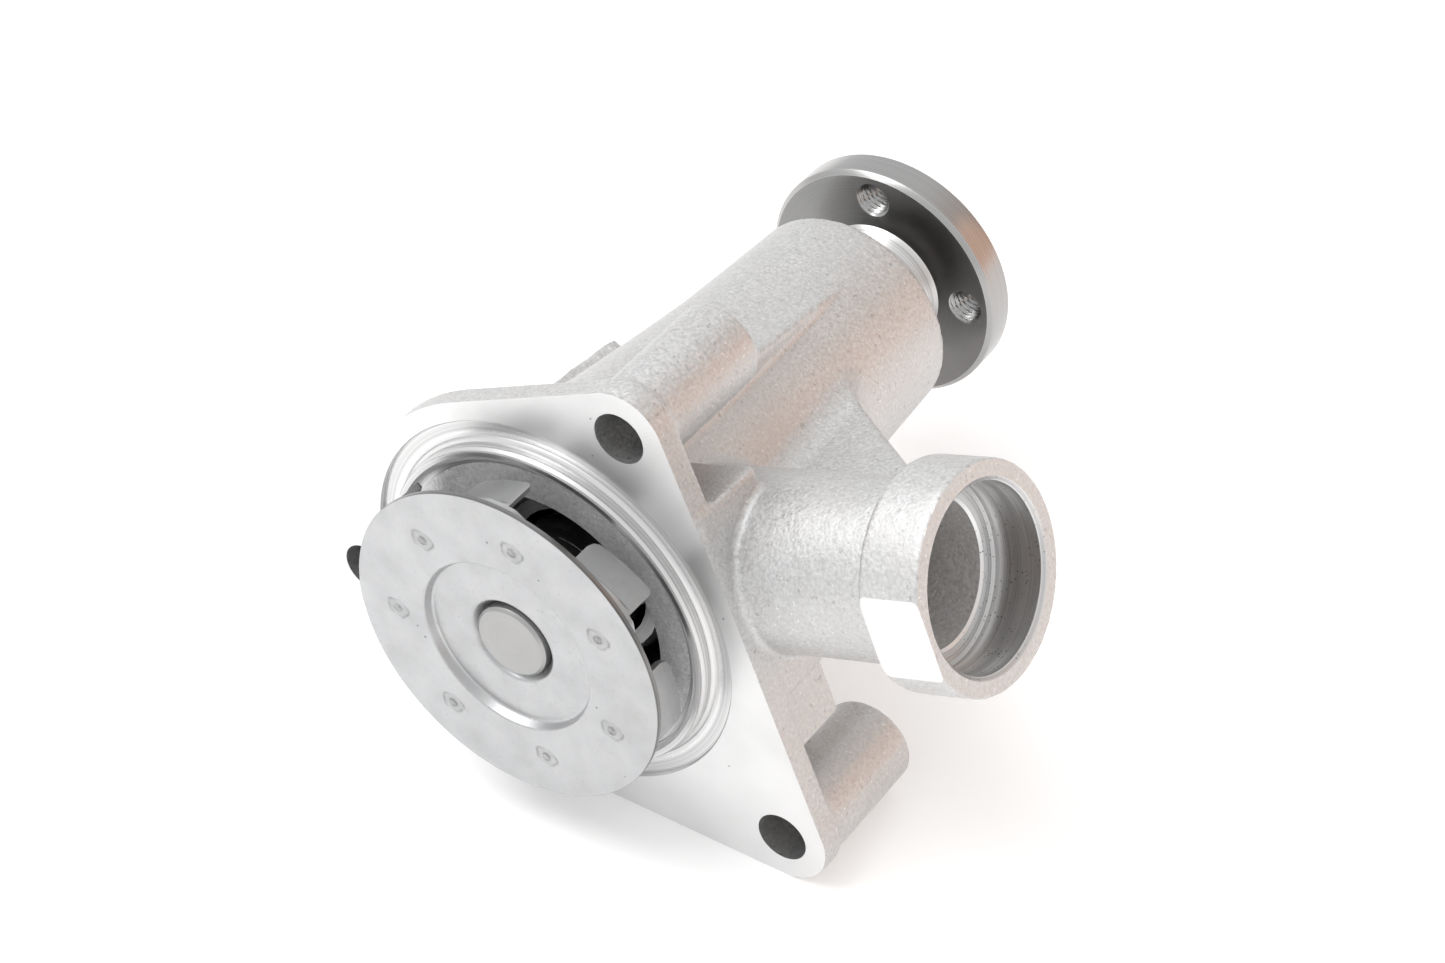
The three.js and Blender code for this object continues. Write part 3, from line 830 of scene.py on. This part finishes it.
def cast_aluminium(name="cast_aluminium_skin", base=0.64, rough=0.56, metallic=1.0):
    s = Surface(name)
    grain = s.noise(0.7, 3)
    bright = s.noise(0.8, 1)
    dark = s.noise(1.1, 2)
    cloud = s.noise(14, 3)
    tone = s.mix(s.between(grain, 0.35, 0.65), grey(base * 0.88), grey(base * 1.1))
    tone = s.mix(s.between(bright, 0.66, 0.76), tone, grey(base * 1.25))
    tone = s.mix(s.between(dark, 0.64, 0.74, 0, 0.7), tone, grey(base * 0.6))
    tone = s.mix(s.between(cloud, 0.3, 0.7, 0.0, 0.25), tone, grey(base * 0.87, 0.03))
    rough_map = s.between(grain, 0.3, 0.7, rough - 0.08, rough + 0.1)
    coarse = s.bump(s.noise(2.5, 3), 0.3, 0.5)
    s.set(Base_Color=tone, Metallic=metallic, Roughness=rough_map,
          Normal=s.bump(grain, 0.12, 0.8, coarse))
    return s.material


def milled_aluminium():
    s = Surface("milled_face")
    stain = s.noise(18, 4)
    lines = s.noise(0.35, 2, (1, 1, 0.04))
    tone = s.mix(s.between(stain, 0.35, 0.7), grey(0.8), grey(0.74))
    tone = s.mix(s.pits(6, 0.045), tone, grey(0.3))
    s.set(Base_Color=tone, Metallic=1.0, Roughness=s.between(stain, 0.3, 0.7, 0.34, 0.46),
          Normal=s.bump(lines, 0.015, 0.6))
    return s.material


def turned_aluminium(name, axis, pitch, low, high, pit):
    """Bright turned metal: fine and broad turning marks, and pits of that many millimetres."""
    s = Surface(name)
    fine = s.rings(pitch, axis)
    broad = s.rings(pitch * 5, axis)
    tone = s.mix(s.between(fine, 0.35, 0.65), grey(low), grey(high))
    tone = s.mix(s.between(broad, 0.42, 0.58, 0, 0.5), tone, grey(low * 0.8))
    patch = s.between(s.noise(6, 2), 0.4, 0.6)
    tone = s.mix(s.math("MULTIPLY", patch, s.pits(0.9, pit)), tone, grey(0.2))
    marks = s.bump(fine, 0.05, 0.7, s.bump(broad, 0.12, 0.6))
    s.set(Base_Color=tone, Metallic=1.0, Roughness=s.between(broad, 0.3, 0.7, 0.25, 0.42),
          Normal=marks)
    return s.material


def zinc_sheet():
    s = Surface("zinc_sheet")
    cloud = s.noise(7, 4)
    tint = s.noise(3, 2)
    fine = s.noise(0.8, 3)
    tone = s.mix(s.between(cloud, 0.35, 0.68), grey(0.53), grey(0.46))
    tone = s.mix(s.between(tint, 0.3, 0.7, 0, 0.5), tone, (0.49, 0.51, 0.53, 1))
    tone = s.mix(s.between(fine, 0.6, 0.75, 0, 0.6), tone, grey(0.39))
    tone = s.mix(s.pits(6, 0.05), tone, grey(0.2))
    weld = s.add("ShaderNodeAttribute", attribute_name="weld").outputs["Fac"]
    patchy = s.math("MULTIPLY", weld, s.between(s.noise(1.2, 2), 0.3, 0.6, 0.35, 1))
    tone = s.mix(patchy, tone, grey(0.22))
    s.set(Base_Color=tone, Metallic=1.0, Roughness=s.between(cloud, 0.3, 0.7, 0.34, 0.42),
          Normal=s.bump(fine, 0.03, 0.5))
    return s.material


def steel(name, base, rough, pitch, turning=0.01, anisotropic=0.5, contrast=0.1):
    s = Surface(name)
    rings = s.rings(pitch)
    darker, lighter = grey(base * (1 - contrast)), grey(base * (1 + contrast), 0.01)
    tone = s.mix(s.between(rings, 0.3, 0.7), darker, lighter)
    tangent = s.add("ShaderNodeTangent", direction_type="RADIAL", axis="Y").outputs[0]
    s.set(Base_Color=tone, Metallic=1.0, Roughness=rough, Anisotropic=anisotropic,
          Tangent=tangent, Normal=s.bump(rings, turning, 0.6))
    return s.material


def plain(name, color, rough):
    """Rubber, nylon or ceramic: one colour with a fine grain."""
    s = Surface(name)
    grain = s.noise(0.8, 2)
    dark = tuple(0.85 * c for c in color[:3]) + (1,)
    s.set(Base_Color=s.mix(grain, dark, color), Metallic=0.0, Roughness=rough,
          Normal=s.bump(grain, 0.02, 0.5))
    return s.material


# ---------------------------------------------------------------- stage
def stage():
    s = Surface("pale_floor")
    s.set(Base_Color=s.mix(s.noise(300, 2), grey(0.9), grey(0.92)), Roughness=0.6,
          Emission_Color=grey(1.0), Emission_Strength=0.22)
    side = 3.0
    height = cad_low.z
    corners = [(-side, -side, height), (side, -side, height), (side, side, height),
               (-side, side, height)]
    floor = mesh_object("floor", corners, [(0, 1, 2, 3)], [s.material])


def area_light(name, azimuth, elevation, distance, size, power, color):
    """A soft square light, aimed at the pump's middle from that direction."""
    data = bpy.data.lights.new(name, "AREA")
    data.size = size
    data.energy = power
    data.color = color
    made = bpy.data.objects.new(name, data)
    bpy.context.scene.collection.objects.link(made)
    a, e = math.radians(azimuth), math.radians(elevation)
    away = Vector((math.sin(a) * math.cos(e), -math.cos(a) * math.cos(e), math.sin(e)))
    made.location = (cad_low + cad_high) / 2 + away * distance
    made.rotation_mode = "QUATERNION"
    made.rotation_quaternion = away.to_track_quat("Z", "Y")


def dome():
    """A white room, with something dim and warm low down behind the pump, to the right."""
    world = bpy.data.worlds.new("studio")
    world.use_nodes = True
    tree = world.node_tree
    way = tree.nodes.new("ShaderNodeTexCoord").outputs["Generated"]
    towards = tree.nodes.new("ShaderNodeVectorMath")
    towards.operation = "DISTANCE"
    towards.inputs[1].default_value = Vector((0.8, 0.58, 0.05)).normalized()
    tree.links.new(way, towards.inputs[0])
    reach = tree.nodes.new("ShaderNodeMapRange")
    reach.inputs["From Min"].default_value = 1.05
    reach.inputs["From Max"].default_value = 0.35
    tree.links.new(towards.outputs["Value"], reach.inputs["Value"])
    blend = tree.nodes.new("ShaderNodeMix")
    blend.data_type = "RGBA"
    blend.inputs[6].default_value = (1, 1, 1, 1)
    blend.inputs[7].default_value = (0.62, 0.49, 0.41, 1)
    tree.links.new(reach.outputs["Result"], blend.inputs[0])
    background = tree.nodes["Background"]
    background.inputs["Strength"].default_value = 0.93
    tree.links.new(blend.outputs[2], background.inputs["Color"])
    bpy.context.scene.world = world


def lights():
    area_light("key", -60, 60, 1.2, 0.9, 8, (1, 1, 1))
    area_light("warm", 125, 12, 0.9, 0.7, 0.9, (1, 0.55, 0.36))


def camera():
    """Looks from the front right and above, turned a little about its own axis."""
    azimuth, elevation, roll = math.radians(35.19), math.radians(40.24), math.radians(-2.15)
    back = Vector((
        math.sin(azimuth) * math.cos(elevation),
        -math.cos(azimuth) * math.cos(elevation),
        math.sin(elevation),
    ))
    data = bpy.data.cameras.new("camera")
    data.lens = 86.57
    data.sensor_width = 36
    made = bpy.data.objects.new("camera", data)
    bpy.context.scene.collection.objects.link(made)
    made.location = Vector((0.31226, -0.51186, 0.44707))
    made.rotation_mode = "QUATERNION"
    level = (-back).to_track_quat("-Z", "Y")
    made.rotation_quaternion = level @ Matrix.Rotation(roll, 4, "Z").to_quaternion()
    bpy.context.scene.camera = made


# ---------------------------------------------------------------- the pump
cast = cast_aluminium()
zinc = zinc_sheet()
ground = steel("ground_shaft", 0.4, 0.32, 0.6, turning=0.002, contrast=0.02)
housing(
    cast=cast,
    milled=milled_aluminium(),
    turned=turned_aluminium("turned_spigot", "shaft", 0.5, 0.62, 0.85, 0.0),
    bored=turned_aluminium("turned_inlet", "inlet", 0.4, 0.6, 0.95, 0.22),
    # painted light: the cored walls of the eye and the inlet passage are the cast skin with a
    # brighter base, standing in for light that does not reach inside them
    cored=cast_aluminium("cored_wall_painted_light", 0.85, 0.42, 0.6),
    holes=cast_aluminium("bolt_hole_wall", 0.5, 0.35, 0.8),
    # painted shade: the cavity's walls are the cast skin with a far darker base, standing in for the
    # shade inside the cavity
    dark=cast_aluminium("cavity_wall_painted_shade", 0.2, 0.6),
)
impeller_disc(zinc, steel("sheared_edge", 0.26, 0.3, 0.4, contrast=0.4))
vane_plate(zinc)
shaft(ground)
pulley_hub(
    # painted shade: the hub's flat faces are the same turned steel with a much darker base, standing
    # in for the dark reflection they show
    steel("turned_face_painted_shade", 0.27, 0.3, 0.25, anisotropic=0.85),
    steel("turned_rim", 0.4, 0.24, 0.3, contrast=0.15),
    # painted highlight: the boss behind the hub is the same turned steel with a much brighter base,
    # standing in for the bright bands it reflects
    steel("turned_boss_painted_highlight", 0.62, 0.3, 0.5, contrast=0.25),
)

FINISHES = {
    "bearing": ground,
    "ball": steel("bearing_balls", 0.6, 0.12, 5),
    "ball_cage": plain("nylon", (0.45, 0.38, 0.24, 1), 0.6),
    "bearing_seal": plain("seal_rubber", (0.012, 0.012, 0.012, 1), 0.75),
    "slinger": plain("slinger_rubber", (0.014, 0.013, 0.013, 1), 0.8),
    "seal_cup": steel("stainless", 0.55, 0.28, 0.4),
    "seal_spring": steel("spring_steel", 0.5, 0.3, 0.4),
    "seal_bellows": plain("bellows_rubber", (0.012, 0.012, 0.012, 1), 0.8),
    "seal_carbon_ring": plain("carbon", (0.03, 0.03, 0.032, 1), 0.42),
    "seal_seat_ring": plain("ceramic", (0.8, 0.77, 0.7, 1), 0.3),
    "seal_seat_boot": plain("boot_rubber", (0.012, 0.012, 0.012, 1), 0.8),
}
for name, node in nodes.items():
    if not node.hide_render:
        kind = max((k for k in FINISHES if name.startswith(k)), key=len)
        node.data.materials.clear()
        node.data.materials.append(FINISHES[kind])

stage()
dome()
lights()
camera()
bpy.context.scene.view_settings.view_transform = "Standard"
